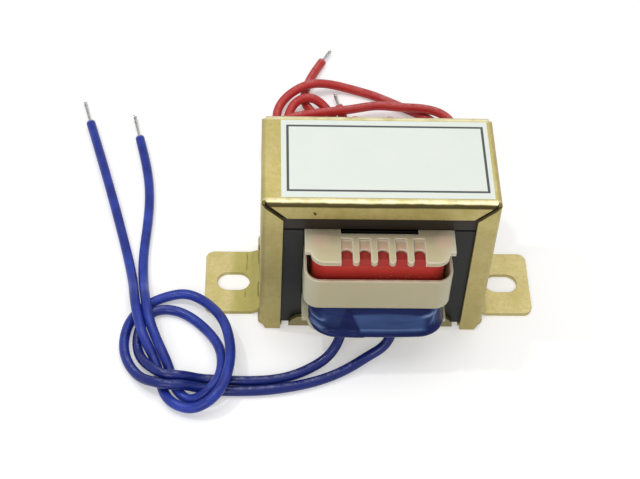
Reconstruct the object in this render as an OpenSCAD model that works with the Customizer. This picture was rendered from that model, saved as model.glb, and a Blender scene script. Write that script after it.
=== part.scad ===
// Laminated chassis transformer: an interleaved E and I core, two bobbins stacked on
// its centre limb, a folded sheet cover and a slotted mounting plate, with free leads.
// Millimetres. X across the ears, Y front (-) to back (+), Z up. The origin is at the
// middle of the underside, on the surface that the ears are screwed to.

/* [Core] */
// Width of each outer limb of an E sheet
limb_w = 8; // [6:0.5:10]
// Width of the centre limb
centre_limb_w = 16; // [12:0.5:20]
// Height of the yoke of an E sheet and of an I sheet
yoke_h = 8; // [6:0.5:10]
// Width of each winding window
window_w = 8; // [7.5:0.5:11]
// Height of the winding windows
window_h = 24; // [22:0.5:30]
// Number of sheets in the stack
sheet_count = 48; // [36:2:56]
// Sheet to sheet pitch, varnish included
sheet_pitch = 0.5; // [0.45:0.05:0.55]
// Varnish film left between two sheets
sheet_film = 0.03; // [0.02:0.01:0.05]
// Butt gap between an E sheet and its I sheet
butt_gap = 0.05; // [0.02:0.01:0.1]

/* [Cover] */
// Thickness of the cover's sheet
cover_t = 0.8; // [0.6:0.1:1.0]
// Gap between the core and each side wall
side_gap = 0.2; // [0.1:0.05:0.4]
// Gap between the core and each inward flange
face_gap = 0.1; // [0.05:0.05:0.3]
// Gap between the core and the cover's top
top_gap = 0.1; // [0.1:0.05:0.2]
// Outer radius of the cover's bends
bend_r = 1.1; // [0.9:0.1:1.1]
// Width of the inward flanges, measured from the outer corner
flange_w = 4.65; // [4:0.05:6]
// Width of the open mitres at the top corners
mitre_gap = 1.2; // [0.6:0.1:1.6]
// Gap under the lower end of the side flanges
flange_lift = 0.2; // [0.2:0.1:0.6]
// Height of the cut lower corners of the side flanges
corner_cut_h = 3.2; // [2:0.1:4]
// Width of the cut lower corners of the side flanges
corner_cut_w = 1.3; // [1:0.1:2.5]
// Reach of the claws under the mounting plate
claw_reach = 5; // [3:0.5:7]
// Outer radius of the claws' bends
claw_r = 1.8; // [1.5:0.1:2.2]
// How far the claws stand out of the side walls
claw_bulge = 0.4; // [0.2:0.1:0.8]

/* [Mounting plate] */
// Thickness of the mounting plate
plate_t = 1.0; // [0.8:0.1:1.5]
// Width of the plate's body, under the core
plate_w = 47; // [44:0.5:47]
// Metal left between a slot and the end of its ear
ear_edge = 2.75; // [2:0.25:4]
// Width of the ears, front to back
ear_w = 17.5; // [14:0.5:18]
// Corner radius of the ears
ear_corner_r = 2; // [1:0.5:3]
// Metal left between a slot and the foot of the step
slot_gap = 0.25; // [0.25:0.25:2]
// Length of each slot
slot_len = 7.5; // [6.5:0.5:8]
// Width of each slot
slot_w = 5.3; // [4:0.1:6]
// Gap between the cover's side and the step down to the ear
step_gap = 0.3; // [0.2:0.1:0.6]
// Run of the step down to the ears
step_run = 1.7; // [1.5:0.1:1.8]
// Gap between the core and each upturned tab, which is also the bend's inner radius
tab_gap = 0.15; // [0.1:0.05:0.3]
// Width of the upturned front and rear tabs
tab_w = 37; // [30:0.5:37]
// Height of the tabs above the plate's top face
tab_h = 2.9; // [2:0.1:4]
// How far the plate's edges beside the tabs are set back
tab_relief = 1.1; // [0.5:0.1:1.5]
// Radius of the tabs' upper corners
tab_corner_r = 3; // [1:0.1:3.5]

/* [Bobbins] */
// Gap between a bobbin's tube and the sides of the centre limb
tube_gap_x = 0.2; // [0.1:0.05:0.3]
// Gap between a bobbin's tube and the faces of the stack
tube_gap_y = 1.1; // [0.5:0.1:1.3]
// Wall of the bobbins' tubes
tube_wall = 0.9; // [0.7:0.1:1.2]
// Gap between a bobbin's end and a yoke, and between bobbin and bobbin
seat_gap = 0.1; // [0.05:0.05:0.2]
// Thickness of the top flange
top_flange_t = 1.2; // [1:0.1:1.5]
// Thickness of the other flanges
flange_t = 1.0; // [0.8:0.1:1.3]
// Gap between a flange and each outer limb
limb_gap = 0.2; // [0.1:0.05:0.4]
// How far the flanges stand out of the stack
flange_reach = 8.9; // [8:0.1:10]
// How far the flanges keep their full width out of the stack
shoulder_reach = 6; // [5:0.1:7]
// Step in from the full width to the nose of a flange
nose_step = 1.2; // [1.1:0.1:1.6]
// Corner radius of a flange's nose
nose_r = 3; // [2:0.1:4]
// Height of the secondary winding space
secondary_h = 7.4; // [6:0.1:8]
// Height of the shroud above the secondary bobbin's upper flange
shroud_h = 8; // [6:0.1:10]
// Wall of the shroud
shroud_wall = 0.6; // [0.6:0.05:1.1]
// Corner radius of the shroud
shroud_r = 3.4; // [2:0.1:4]

/* [Comb] */
// Slots in each comb
comb_slots = 5; // [3:1:5]
// Pitch of the comb's slots
comb_pitch = 3.8; // [3.6:0.1:3.9]
// Offset of the comb from the middle
comb_shift = 0.5; // [0:0.1:0.5]
// Width of the slots in the top comb
comb_slot_w = 2.4; // [1.8:0.1:2.4]
// Width of the slots in the bottom comb, which the leads pass through
lead_slot_w = 2.6; // [2.6:0.1:2.8]
// Depth of the slots from the edge of the flange
comb_slot_depth = 4; // [2.5:0.1:4]
// Radius of the slots' inner corners
comb_root_r = 1.1; // [0.3:0.1:1.1]
// Depth of the pockets between the comb's ribs
pocket_depth = 0.6; // [0.3:0.1:0.8]
// Length of the pockets
pocket_len = 2.5; // [2:0.1:3.5]

/* [Windings] */
// Build of the primary winding, tube to tape
primary_build = 4.5; // [3:0.1:4.6]
// Build of the secondary winding, tube to tape
secondary_build = 4.6; // [3:0.1:4.8]
// Thickness of the primary's tape wrap
primary_tape_t = 0.5; // [0.2:0.1:0.6]
// Thickness of the primary tape's lip, folded in over the winding
primary_lip_t = 0.4; // [0.2:0.1:0.6]
// Corner radius of the windings
winding_r = 3; // [2:0.1:4]
// Side bulge of the secondary's tape wrap
tape_bulge_x = 1.0; // [0.4:0.1:1.2]
// Front and rear bulge of the secondary's tape wrap, over the lead joints
tape_bulge_y = 5.4; // [3:0.1:6]
// How far the middle of that bulge stands out past its corners
tape_bow = 1; // [0:0.1:1.5]

/* [Label] */
// Width of the label
label_w = 44.4; // [30:0.1:44.4]
// Depth of the label
label_d = 22.2; // [15:0.1:22.4]
// Thickness of the label
label_t = 0.1; // [0.05:0.05:0.2]
// Offset of the label towards the right side
label_shift = 1.3; // [0:0.1:1.3]

/* [Leads] */
// Outer diameter of the leads
lead_d = 2.3; // [2:0.1:2.4]
// Diameter of the bare strands
strand_d = 0.8; // [0.6:0.1:1.2]
// Bare length at the ends of the blue leads
blue_bare = 8.5; // [3:0.5:10]
// Bare length at the ends of the red leads
red_bare = 5; // [3:0.5:10]

/* [Hidden] */
$fn = 48;

past = 1;                                   // how far a cutter runs past a face
sheet_t = sheet_pitch - sheet_film;
core_w = 2 * limb_w + 2 * window_w + centre_limb_w;
core_d = sheet_count * sheet_pitch;
core_h = window_h + 2 * yoke_h;
plate_z = cover_t;                          // the plate lies on the cover's claws
core_z = plate_z + plate_t;
body_h = core_z + core_h + top_gap + cover_t;
cover_w = core_w + 2 * (side_gap + cover_t);
cover_d = core_d + 2 * (face_gap + cover_t);
step_x = cover_w / 2 + step_gap;
slot_pitch = 2 * (step_x + step_run + slot_gap) + slot_len;
ear_span = slot_pitch + slot_len + 2 * ear_edge;

tube_x = centre_limb_w / 2 + tube_gap_x;    // half sizes of the tubes' bore
tube_y = core_d / 2 + tube_gap_y;
former_x = tube_x + tube_wall;              // half sizes of the tubes' outside
former_y = tube_y + tube_wall;
shoulder_x = centre_limb_w / 2 + window_w - limb_gap;
shoulder_y = core_d / 2 + shoulder_reach;
nose_x = shoulder_x - nose_step;
nose_y = core_d / 2 + flange_reach;

lower_flange_z = core_z + yoke_h + seat_gap;
secondary_z = lower_flange_z + flange_t;
upper_flange_z = secondary_z + secondary_h;
cup_floor_z = upper_flange_z + flange_t;
shroud_z = cup_floor_z + shroud_h;
primary_flange_z = cup_floor_z + seat_gap;
primary_z = primary_flange_z + flange_t;
top_flange_z = core_z + yoke_h + window_h - seat_gap - top_flange_t;

wrap_gap = 0.05;                            // slack between a winding and its flanges
lip_gap = 0.3;                              // slack between the tape's lip and the tube
primary_lip_z = top_flange_z - wrap_gap - primary_lip_t;
cup_gap = 0.15;                             // slack of the primary flange in the cup
strip_t = 0.01;                             // thickness of the slices that a hull joins
bow_w = 8;                                  // width of the flat middle of the tape's bow

// Routes of the leads, from the coil to the end of the insulation
red_route_a = [
    [4, 19.2, 30.2], [4, 22.5, 30], [4.5, 26, 27.6], [5, 28.3, 23], [6, 29, 17.5],
    [8, 30, 11.5], [11.5, 31.5, 6], [16, 35, 2.4], [21, 40, 1.2], [24, 46, 1.8],
    [22, 51.5, 3.2], [16.5, 54, 3.7], [10.5, 54.5, 3.7], [4.5, 55, 3.6], [-2, 53.5, 3.8],
    [-8.5, 52.4, 3.8], [-15, 51, 3.8], [-19.5, 49, 3.8], [-22, 46.4, 3.5], [-23.4, 42.5, 2],
    [-23.2, 38, 1.2],
    [-19.5, 34.5, 1.2], [-14, 33.5, 1.2], [-8, 34.5, 1.2], [-4, 39, 1.2], [-3, 44, 1.2],
    [-3.5, 50, 1.2], [-5, 56.8, 1.2]];
red_route_b = [
    [-3.5, 19.2, 30.2], [-3.5, 22.5, 30], [-3.5, 26, 27.6], [-3, 28.3, 23], [-1.5, 29, 17.5],
    [1, 30, 11.5], [5, 32.5, 6], [10, 36, 2.4], [15, 40, 1.2], [19, 44.5, 1.2],
    [19.5, 50.5, 1.2], [14.5, 55, 1.2], [8.5, 58.5, 1.2], [4, 61, 1.2], [-1.5, 63, 1.4],
    [-7, 63.5, 2.6], [-12.2, 62.3, 3.8], [-16.8, 60, 3.2], [-20.3, 56, 1.8], [-21, 51, 1.2],
    [-20.3, 45.5, 1.2], [-17.5, 40.5, 1.2], [-12.5, 38.5, 1.2], [-7.5, 41, 1.2],
    [-6, 46.5, 1.2], [-6.5, 52, 1.2], [-8.8, 55.8, 2.2], [-12.4, 57.3, 3.8], [-16, 56.4, 3.1],
    [-18, 53, 1.4], [-18, 47.5, 1.2], [-17, 44.4, 1.2], [-14.9, 42.6, 1.2], [-12, 42.6, 1.2],
    [-9.8, 44.4, 1.2], [-8.9, 48, 1.2], [-11, 53.5, 1.2], [-13.6, 58, 1.2],
    [-13.3, 63.5, 1.2], [-9, 73.5, 1.2]];
blue_route_a = [
    [4.3, -19, 10.5], [3.9, -20, 7.7], [2.5, -21.3, 5.4], [-0.5, -22.5, 3.4],
    [-4.8, -24.6, 1.8], [-10.5, -27.3, 1.2], [-22, -30.3, 1.2], [-35.5, -30.6, 1.2],
    [-39.5, -30.5, 2.4], [-42.2, -30.9, 3.7], [-45, -31, 3.9], [-47.5, -30.2, 3.6],
    [-50.3, -28.3, 2.2], [-53, -25, 1.3], [-54.7, -21, 1.2], [-55, -16.5, 1.2],
    [-54.1, -12.4, 1.2], [-51.9, -8.8, 1.2], [-48.8, -6.3, 1.2], [-45.5, -5, 1.5],
    [-41.5, -5.1, 2.3], [-38.3, -6.7, 2.5], [-35.8, -9.4, 3.2], [-33.4, -13.5, 4.4],
    [-31.8, -19, 5.4], [-31.3, -25, 5.8], [-32.1, -30, 5.8], [-33.8, -33.6, 5],
    [-36.7, -35.8, 3.6], [-40, -36, 2.2], [-43.3, -34.6, 1.9], [-45.6, -31.3, 1.2],
    [-46.8, -27, 1.2], [-48.2, -22.4, 1.5], [-50.4, -18.2, 3.1], [-52.1, -13, 3.9],
    [-53.1, -8, 3.8], [-54, -1.5, 1.8], [-57, 12, 1.2], [-67.5, 50, 1.2]];
blue_route_b = [
    [-7.1, -19, 10.5], [-7.2, -19.9, 7.7], [-8, -21, 5.2], [-10, -22.8, 3],
    [-13.5, -24.8, 1.7], [-18.2, -26.8, 1.2], [-24, -28, 1.2], [-33, -28, 1.2],
    [-38, -27.7, 1.4], [-40.7, -28.1, 2.8], [-43, -28.5, 3.8], [-45.5, -28.3, 3.9],
    [-48.3, -26.3, 3.3], [-50.5, -23.5, 2.2], [-51.9, -19.8, 1.3], [-52, -15.5, 1.2],
    [-50.7, -11.5, 1.2], [-48.3, -9.1, 1.2], [-45, -8.8, 1.2], [-41, -10.5, 1.2],
    [-37.9, -13.3, 1.3], [-35.2, -17.4, 2.3], [-33.5, -22, 3.4], [-33.2, -26, 3.9],
    [-34, -29.6, 4], [-35.7, -32, 3.6], [-38, -33.1, 2.1], [-40.3, -33, 1.2],
    [-42.3, -31.3, 1.2], [-43.6, -29, 1.2], [-44.5, -26, 1.5], [-46, -22.5, 2.9],
    [-48, -17.7, 3.1], [-49.8, -12.5, 3.9], [-50.8, -7.2, 3.9], [-51.5, -2, 1.9],
    [-52, 4.5, 1.2], [-51.6, 17.5, 1.2], [-51.9, 29, 1.2], [-55, 45, 1.2]];

function unit(v) = v / norm(v);
function arc(centre, r, from, to, steps = 6) =
    [for (i = [0:steps]) centre + r * [cos(from + (to - from) * i / steps),
                                       sin(from + (to - from) * i / steps)]];
// Direction of a route at its point i, and a side vector carried along it without twist
function heading(p, i) = unit(p[min(i + 1, len(p) - 1)] - p[max(i - 1, 0)]);
function sides(p, v, i = 0) = i == len(p) ? [] :
    let (t = heading(p, i), s = unit(v - (v * t) * t)) concat([s], sides(p, s, i + 1));
function tip(p) = p[len(p) - 1];
function comb_x(i) = comb_shift + comb_pitch * (i - (comb_slots - 1) / 2);

// A profile in X and Z, extruded from y0 to y1
module along_y(y0, y1) {
    translate([0, y1, 0]) rotate([90, 0, 0]) linear_extrude(y1 - y0) children();
}

// A profile in Y and Z, extruded from x0 to x1
module along_x(x0, x1) {
    translate([x0, 0, 0]) rotate([90, 0, 90]) linear_extrude(x1 - x0) children();
}

module both_ends() {
    children();
    mirror([0, 1, 0]) children();
}

module both_sides() {
    children();
    mirror([1, 0, 0]) children();
}

module rounded_rect(w, d, r) {
    square([w - 2 * r, d], center = true);
    square([w, d - 2 * r], center = true);
    for (x = [-1, 1], y = [-1, 1]) translate([x * (w / 2 - r), y * (d / 2 - r)]) circle(r);
}

// A strip that stands on the axis and has rounded upper corners
module rounded_top(w, h, r, foot = 0) {
    translate([-w / 2, -foot]) square([w, h - r + foot]);
    translate([-w / 2 + r, -foot]) square([w - 2 * r, h + foot]);
    for (x = [-1, 1]) translate([x * (w / 2 - r), h - r]) circle(r);
}

// ---- Core ----

module e_profile() {
    leg = yoke_h + window_h - butt_gap;
    inner = centre_limb_w / 2;
    difference() {
        translate([-core_w / 2, 0]) square([core_w, leg]);
        for (side = [-1, 1])
            translate([side * (inner + window_w / 2) - window_w / 2, yoke_h])
                square([window_w, window_h + past]);
    }
}

module i_profile() {
    translate([-core_w / 2, yoke_h + window_h]) square([core_w, yoke_h]);
}

// Every second sheet of the stack, from one number to another
module every_second_sheet(first, last) {
    for (i = [first:2:last])
        let (y = -core_d / 2 + i * sheet_pitch)
            along_y(y + sheet_film / 2, y + sheet_film / 2 + sheet_t) children();
}

module upright() {
    translate([0, core_z]) children();
}

module inverted() {
    translate([0, core_z + core_h]) mirror([0, 1]) children();
}

module front_e_sheet() {
    color("dimgray") every_second_sheet(0, 0) upright() e_profile();
}

module front_i_sheet() {
    color("dimgray") every_second_sheet(0, 0) upright() i_profile();
}

module e_sheets_upright() {
    color("dimgray") every_second_sheet(2, sheet_count - 2) upright() e_profile();
}

module i_sheets_upright() {
    color("dimgray") every_second_sheet(2, sheet_count - 2) upright() i_profile();
}

module e_sheets_inverted() {
    color("gray") every_second_sheet(1, sheet_count - 3) inverted() e_profile();
}

module i_sheets_inverted() {
    color("gray") every_second_sheet(1, sheet_count - 3) inverted() i_profile();
}

module rear_e_sheet() {
    color("gray") every_second_sheet(sheet_count - 1, sheet_count - 1) inverted() e_profile();
}

module rear_i_sheet() {
    color("gray") every_second_sheet(sheet_count - 1, sheet_count - 1) inverted() i_profile();
}

// ---- Cover ----

// A block whose upper and upright edges all have the bend radius
module bent_block(w, d, h, r, foot = 0) {
    intersection() {
        translate([0, 0, -foot]) linear_extrude(h + foot + past) rounded_rect(w, d, r);
        along_y(-d / 2 - past, d / 2 + past) rounded_top(w, h, r, foot + past);
        along_x(-w / 2 - past, w / 2 + past) rounded_top(d, h, r, foot + past);
    }
}

// The opening between the flanges of one face, with the open mitres at its upper corners
module face_opening() {
    x = cover_w / 2 - flange_w;
    z = body_h - flange_w;
    reach = flange_w * sqrt(2) + 2 * past;
    translate([-x, -past]) square([2 * x, z + past]);
    for (side = [-1, 1])
        translate([side * x, z]) rotate(side > 0 ? 45 : 135)
            translate([-mitre_gap / 2, -mitre_gap / 2])
                square([reach, mitre_gap]);
}

// What is cut from the foot of a side flange: its outer corner and the gap below it
module flange_foot() {
    x = cover_w / 2;
    polygon([[-past, -past], [x + past, -past], [x + past, corner_cut_h + 2 * past],
             [x, corner_cut_h], [x - corner_cut_w, flange_lift], [-past, flange_lift]]);
}

// One claw: the side wall's foot, bulged out and rolled in under the plate
module claw_profile() {
    x = cover_w / 2;
    centre = [x + claw_bulge - claw_r, claw_r];
    knee = (claw_r + corner_cut_h) / 2;
    polygon(concat([[x - cover_t, corner_cut_h + flange_lift], [x, corner_cut_h + flange_lift],
                    [x + claw_bulge, knee]],
                   arc(centre, claw_r, 0, -90),
                   [[x - claw_reach, 0], [x - claw_reach, cover_t]],
                   arc(centre, claw_r - cover_t, -90, 0),
                   [[x + claw_bulge - cover_t, knee]]));
}

module cover() {
    flange_depth = bend_r + face_gap;          // how deep the face cuts go, past the bends
    face_y = cover_d / 2 - flange_depth;
    ear_notch = ear_w / 2 + 2 * side_gap;
    color([0.72, 0.66, 0.42]) {
        difference() {
            bent_block(cover_w, cover_d, body_h, bend_r);
            bent_block(cover_w - 2 * cover_t, cover_d - 2 * cover_t, body_h - cover_t,
                       bend_r - cover_t, past);
            both_ends() along_y(face_y, cover_d / 2 + past) face_opening();
            both_ends() both_sides() along_y(face_y, cover_d / 2 + past) flange_foot();
            // the side walls stop above the ears, and above the claws' knees
            translate([-cover_w / 2 - past, -ear_notch, -past])
                cube([cover_w + 2 * past, 2 * ear_notch, core_z + face_gap + past]);
            translate([-cover_w / 2 - past, -face_y, -past])
                cube([cover_w + 2 * past, 2 * face_y, corner_cut_h + flange_lift + past]);
        }
        both_ends() both_sides() along_y(ear_notch, face_y) claw_profile();
        // the side walls between the claws' knees and the ears
        both_sides() translate([cover_w / 2 - cover_t, -ear_notch, core_z + face_gap])
            cube([cover_t, 2 * ear_notch, corner_cut_h + flange_lift - core_z]);
    }
}

// ---- Mounting plate ----

// The plate's section along X: flat under the core, stepped down to the ears
module ear_section() {
    end = ear_span / 2;
    foot = step_x + step_run;
    polygon([[0, plate_z], [step_x, plate_z], [foot, 0], [end, 0], [end, plate_t],
             [foot, plate_t], [step_x, plate_z + plate_t], [0, plate_z + plate_t]]);
}

module ear_outline() {
    rounded_rect(ear_span, ear_w, ear_corner_r);
}

module slots() {
    both_sides() translate([slot_pitch / 2, 0, -past]) linear_extrude(core_z + 2 * past) {
        square([slot_len - slot_w, slot_w], center = true);
        for (end = [-1, 1]) translate([end * (slot_len - slot_w) / 2, 0]) circle(slot_w / 2);
    }
}

module mounting_plate() {
    inner_y = core_d / 2 + tab_gap;
    outer_y = inner_y + plate_t;
    tab_top = core_z + tab_h;
    color([0.74, 0.69, 0.45]) difference() {
        union() {
            intersection() {
                both_sides() along_y(-ear_w / 2, ear_w / 2) ear_section();
                translate([0, 0, -past]) linear_extrude(core_z + 2 * past) ear_outline();
            }
            translate([-plate_w / 2, tab_relief - core_d / 2, plate_z])
                cube([plate_w, core_d - 2 * tab_relief, plate_t]);
            // the tabs' section along Y, trimmed to their rounded outline
            intersection() {
                along_x(-tab_w / 2, tab_w / 2) difference() {
                    translate([0, plate_z + tab_top]) mirror([0, 1])
                        rounded_top(2 * outer_y, tab_top, tab_gap + plate_t);
                    translate([0, core_z + tab_top]) mirror([0, 1])
                        rounded_top(2 * inner_y, tab_top, tab_gap, past);
                }
                along_y(-outer_y - past, outer_y + past)
                    rounded_top(tab_w, tab_top, tab_corner_r);
            }
        }
        slots();
    }
}

// ---- Label ----

module rating_label() {
    color("ghostwhite")
        translate([label_shift - label_w / 2, -label_d / 2, body_h])
            cube([label_w, label_d, label_t]);
}

// ---- Bobbins ----

module flange_outline() {
    rounded_rect(2 * nose_x, 2 * nose_y, nose_r);
    square([2 * shoulder_x, 2 * shoulder_y], center = true);
}

module tube_bore(z0, z1) {
    translate([-tube_x, -tube_y, z0 - past]) cube([2 * tube_x, 2 * tube_y, z1 - z0 + 2 * past]);
}

module tube(z0, z1) {
    translate([-former_x, -former_y, z0]) cube([2 * former_x, 2 * former_y, z1 - z0]);
}

// The slots of one comb, seen from above, and the waste round the tips of its fingers
module comb(slot_w) {
    root_y = nose_y - comb_slot_depth;
    slot_l = 2 * (comb_slot_depth + past);
    finger_w = comb_pitch - slot_w;
    tip_y = nose_y - finger_w / 2;
    for (i = [0:comb_slots - 1])
        translate([comb_x(i), root_y + slot_l / 2]) rounded_rect(slot_w, slot_l, comb_root_r);
    for (i = [0:comb_slots - 2])
        translate([comb_x(i + 0.5), tip_y]) difference() {
            translate([-finger_w / 2, 0]) square([finger_w, finger_w / 2 + past]);
            circle(finger_w / 2);
        }
}

// The pockets between the ribs that carry the fingers
module comb_pockets() {
    root_y = nose_y - comb_slot_depth;
    for (i = [0:comb_slots - 1])
        translate([comb_x(i) - comb_slot_w / 2, root_y - pocket_len])
            square([comb_slot_w, pocket_len + comb_root_r]);
}

module primary_bobbin() {
    top = top_flange_z + top_flange_t;
    cup_x = shoulder_x - shroud_wall - cup_gap;
    cup_y = nose_y - shroud_wall - cup_gap;
    color("ivory") difference() {
        union() {
            translate([0, 0, top_flange_z]) linear_extrude(top_flange_t) flange_outline();
            tube(primary_flange_z, top_flange_z + top_flange_t / 2);
            translate([0, 0, primary_flange_z]) linear_extrude(flange_t)
                rounded_rect(2 * cup_x, 2 * cup_y, shroud_r - shroud_wall);
        }
        tube_bore(primary_flange_z, top);
        both_ends() translate([0, 0, top_flange_z - past])
            linear_extrude(top_flange_t + 2 * past) comb(comb_slot_w);
        both_ends() translate([0, 0, top - pocket_depth])
            linear_extrude(pocket_depth + past) comb_pockets();
    }
}

module secondary_bobbin() {
    color("oldlace") difference() {
        union() {
            translate([0, 0, lower_flange_z]) linear_extrude(flange_t) flange_outline();
            tube(lower_flange_z, cup_floor_z);
            translate([0, 0, upper_flange_z]) linear_extrude(flange_t + shroud_h)
                rounded_rect(2 * shoulder_x, 2 * nose_y, shroud_r);
        }
        translate([0, 0, cup_floor_z]) linear_extrude(shroud_h + past)
            rounded_rect(2 * (shoulder_x - shroud_wall), 2 * (nose_y - shroud_wall),
                         shroud_r - shroud_wall);
        tube_bore(lower_flange_z, cup_floor_z);
        both_ends() translate([0, 0, lower_flange_z - past])
            linear_extrude(flange_t + 2 * past) comb(lead_slot_w);
    }
}

// ---- Windings and their tape ----

module winding_ring(build, z0, z1) {
    translate([0, 0, z0]) linear_extrude(z1 - z0) difference() {
        rounded_rect(2 * (former_x + build), 2 * (former_y + build), winding_r);
        square([2 * former_x, 2 * former_y], center = true);
    }
}

module primary_winding() {
    color("sienna") winding_ring(primary_build, primary_z + wrap_gap, primary_lip_z - wrap_gap);
}

module secondary_winding() {
    color("sienna") winding_ring(secondary_build, secondary_z + wrap_gap, upper_flange_z - wrap_gap);
}

module primary_tape() {
    inner = [2 * (former_x + primary_build), 2 * (former_y + primary_build)];
    z = primary_z + wrap_gap;
    color("firebrick") difference() {
        translate([0, 0, z]) linear_extrude(primary_lip_z + primary_lip_t - z)
            rounded_rect(inner[0] + 2 * primary_tape_t, inner[1] + 2 * primary_tape_t,
                         winding_r + primary_tape_t);
        translate([0, 0, z - past]) linear_extrude(primary_lip_z - z + past)
            rounded_rect(inner[0], inner[1], winding_r);
        translate([0, 0, z]) linear_extrude(primary_lip_z + primary_lip_t + past - z)
            square([2 * (former_x + lip_gap), 2 * (former_y + lip_gap)], center = true);
    }
}

// Slices of the secondary's wrap: share of its height, side and front bulge as shares
// of the largest, and corner radius
wrap_slices = [[0, 0.7, 0.9, 5], [0.2, 1, 1, 5.5], [0.6, 0.9, 0.8, 5.5], [1, 0.4, 0.35, 4]];

module secondary_tape() {
    x = former_x + secondary_build;
    y = former_y + secondary_build;
    z = secondary_z + wrap_gap;
    h = secondary_h - 2 * wrap_gap;
    color("midnightblue") difference() {
        hull() for (s = wrap_slices)
            translate([0, 0, z + s[0] * (h - strip_t)]) linear_extrude(strip_t) {
                rounded_rect(2 * (x + s[1] * tape_bulge_x),
                             2 * (y + s[2] * tape_bulge_y - tape_bow), s[3], $fn = 32);
                square([bow_w, 2 * (y + s[2] * tape_bulge_y)], center = true);
            }
        translate([0, 0, z - past]) linear_extrude(h + 2 * past)
            rounded_rect(2 * x, 2 * y, winding_r);
    }
}

// ---- Leads ----

// A tube swept along a route, with a ring at each of its points
module swept_tube(route, d, sides_n = 8) {
    start = abs(heading(route, 0).z) > 0.5 ? [1, 0, 0] : [0, 0, 1];
    n = sides(route, start);
    rings = [for (i = [0:len(route) - 1], j = [0:sides_n - 1])
        let (a = 360 * (j + 0.5) / sides_n, b = cross(heading(route, i), n[i]))
            route[i] + d / 2 * (cos(a) * n[i] + sin(a) * b)];
    last = (len(route) - 1) * sides_n;
    walls = [for (i = [0:len(route) - 2], j = [0:sides_n - 1])
        let (k = (j + 1) % sides_n, a = i * sides_n, b = a + sides_n)
            each [[a + j, b + j, b + k], [a + j, b + k, a + k]]];
    start_cap = [for (j = [0:sides_n - 1]) j];
    end_cap = [for (j = [sides_n - 1:-1:0]) last + j];
    polyhedron(rings, concat(walls, [start_cap, end_cap]));
}

module bare_end(route, bare) {
    along = heading(route, len(route) - 1);
    swept_tube([tip(route), tip(route) + bare * along], strand_d);
}

module red_lead_a() {
    color("crimson") swept_tube(red_route_a, lead_d);
}

module red_lead_b() {
    color("crimson") swept_tube(red_route_b, lead_d);
}

module blue_lead_a() {
    color("mediumblue") swept_tube(blue_route_a, lead_d);
}

module blue_lead_b() {
    color("mediumblue") swept_tube(blue_route_b, lead_d);
}

module red_strands_a() {
    color("silver") bare_end(red_route_a, red_bare);
}

module red_strands_b() {
    color("silver") bare_end(red_route_b, red_bare);
}

module blue_strands_a() {
    color("silver") bare_end(blue_route_a, blue_bare);
}

module blue_strands_b() {
    color("silver") bare_end(blue_route_b, blue_bare);
}

cover();
mounting_plate();
rating_label();
front_e_sheet();
front_i_sheet();
e_sheets_upright();
i_sheets_upright();
e_sheets_inverted();
i_sheets_inverted();
rear_e_sheet();
rear_i_sheet();
primary_bobbin();
secondary_bobbin();
primary_winding();
secondary_winding();
primary_tape();
secondary_tape();
red_lead_a();
red_lead_b();
blue_lead_a();
blue_lead_b();
red_strands_a();
red_strands_b();
blue_strands_a();
blue_strands_b();
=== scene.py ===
"""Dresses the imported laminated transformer: its camera and light, the free leads with
their bare strands, the secondary's wrap, and a finish for every solid. Lengths are in metres."""

import math

import bpy
import numpy as np
from mathutils import Matrix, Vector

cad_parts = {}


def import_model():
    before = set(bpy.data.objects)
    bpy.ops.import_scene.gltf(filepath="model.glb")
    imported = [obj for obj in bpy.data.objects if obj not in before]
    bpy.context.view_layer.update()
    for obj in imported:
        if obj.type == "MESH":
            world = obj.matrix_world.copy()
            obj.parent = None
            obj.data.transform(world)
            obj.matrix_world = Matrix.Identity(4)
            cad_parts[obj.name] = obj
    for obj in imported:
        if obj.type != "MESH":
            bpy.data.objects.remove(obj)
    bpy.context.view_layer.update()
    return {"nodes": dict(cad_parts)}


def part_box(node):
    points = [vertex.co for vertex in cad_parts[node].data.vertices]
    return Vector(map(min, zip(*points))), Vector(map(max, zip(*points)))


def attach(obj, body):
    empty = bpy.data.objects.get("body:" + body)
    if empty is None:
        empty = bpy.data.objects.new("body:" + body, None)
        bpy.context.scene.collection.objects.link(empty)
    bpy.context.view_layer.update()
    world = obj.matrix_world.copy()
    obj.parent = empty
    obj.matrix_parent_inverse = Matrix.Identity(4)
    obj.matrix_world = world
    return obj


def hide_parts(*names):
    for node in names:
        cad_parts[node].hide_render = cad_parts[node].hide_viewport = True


MM = 0.001

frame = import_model()
nodes = frame["nodes"]


# ---- Camera ----


def look(position, tilt, turn, roll, lens):
    """A camera at position that looks down by tilt, turned about Z, then rolled about its
    own line of sight."""
    forward = np.array([0, math.cos(tilt), -math.sin(tilt)])
    right = np.array([1, 0, 0])
    up = np.array([0, math.sin(tilt), math.cos(tilt)])
    about_z = np.array(
        [
            [math.cos(turn), -math.sin(turn), 0],
            [math.sin(turn), math.cos(turn), 0],
            [0, 0, 1],
        ]
    )
    forward, right, up = about_z @ forward, about_z @ right, about_z @ up
    level = math.cos(roll) * right + math.sin(roll) * up
    upright = -math.sin(roll) * right + math.cos(roll) * up
    data = bpy.data.cameras.new("camera")
    data.sensor_width = 36
    data.sensor_fit = "HORIZONTAL"
    data.lens = lens
    data.clip_start = 0.01
    camera = bpy.data.objects.new("camera", data)
    bpy.context.scene.collection.objects.link(camera)
    axes = Matrix([level.tolist(), upright.tolist(), (-forward).tolist()]).transposed()
    camera.matrix_world = Matrix.Translation(position) @ axes.to_4x4()
    bpy.context.scene.camera = camera


look(
    position=(-0.02653, -0.2206, 0.27823),
    tilt=math.radians(49.85),
    turn=math.radians(-3.86),
    roll=math.radians(3.51),
    lens=86.18,
)


# ---- Meshes from arrays ----


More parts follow.
